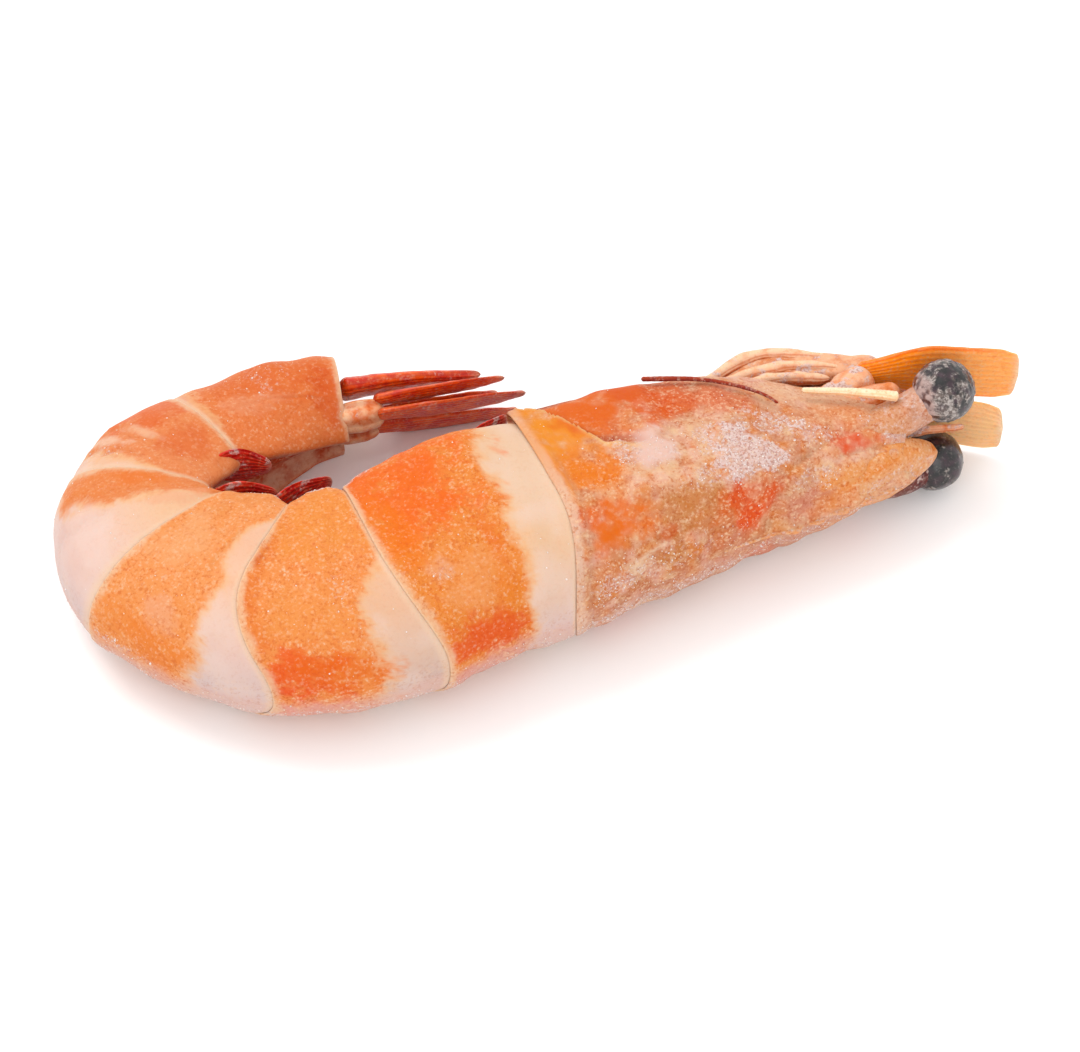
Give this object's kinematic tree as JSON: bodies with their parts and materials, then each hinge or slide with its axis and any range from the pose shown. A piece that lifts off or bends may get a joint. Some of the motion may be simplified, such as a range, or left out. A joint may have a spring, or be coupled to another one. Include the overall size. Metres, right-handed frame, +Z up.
{
  "type": "king prawn",
  "caption": "Whole cooked prawn in its shell, lying on its side with the tail curled under, head, eyes, folded legs and tail fan in place.",
  "frame": {"origin": "bottom centre of the box, on the table that the prawn lies on", "axes": "+Z up, out of the prawn's left side; +X along the body towards the head; -Y out of its back, +Y towards its legs and the curled tail"},
  "size_m": [0.0818, 0.0378, 0.0146],
  "materials": {
    "head_shell": "cooked head shell, semi-translucent, orange and pinkish brown with frost",
    "tail_shell": "cooked tail shell, speckled orange with pale cream bands and thin frost",
    "tail_fan": "ribbed red orange blades",
    "legs": "pale orange jointed legs, frosted",
    "mouth": "pale soft mouth parts",
    "feelers": "orange feeler bases, one cream broken feeler and one dark red strand",
    "scales": "thin amber blades",
    "paddles": "crimson swimming legs, frosted",
    "eyes": "black beads with frost",
    "eye_stalks": "pinkish brown"
  },
  "bodies": {
    "root": {"carapace": "head_shell", "abdomen_1": "tail_shell", "abdomen_2": "tail_shell", "abdomen_3": "tail_shell", "abdomen_4": "tail_shell", "abdomen_5": "tail_shell", "abdomen_6": "tail_shell", "telson": "tail_fan", "uropod_base_left": "tail_fan", "uropod_base_right": "tail_fan", "uropod_inner_left": "tail_fan", "uropod_inner_right": "tail_fan", "uropod_outer_left": "tail_fan", "uropod_outer_right": "tail_fan", "eye_left": "eyes", "eye_right": "eyes", "eye_stalk_left": "eye_stalks", "eye_stalk_right": "eye_stalks", "antennal_scale_left": "scales", "antennal_scale_right": "scales", "antenna_base_left": "feelers", "antenna_base_right": "feelers", "antennule_left": "feelers", "antennule_right": "feelers", "feeler_stub": "feelers", "feeler_strand": "feelers", "mouthparts": "mouth", "maxilliped_left": "legs", "maxilliped_right": "legs", "leg_left_1": "legs", "leg_left_2": "legs", "leg_left_3": "legs", "leg_left_4": "legs", "leg_left_5": "legs", "leg_right_1": "legs", "leg_right_2": "legs", "leg_right_3": "legs", "leg_right_4": "legs", "leg_right_5": "legs", "pleopod_left_1": "paddles", "pleopod_left_2": "paddles", "pleopod_left_3": "paddles", "pleopod_left_4": "paddles", "pleopod_left_5": "paddles", "pleopod_right_1": "paddles", "pleopod_right_2": "paddles", "pleopod_right_3": "paddles", "pleopod_right_4": "paddles", "pleopod_right_5": "paddles"}
  },
  "joints": []
}
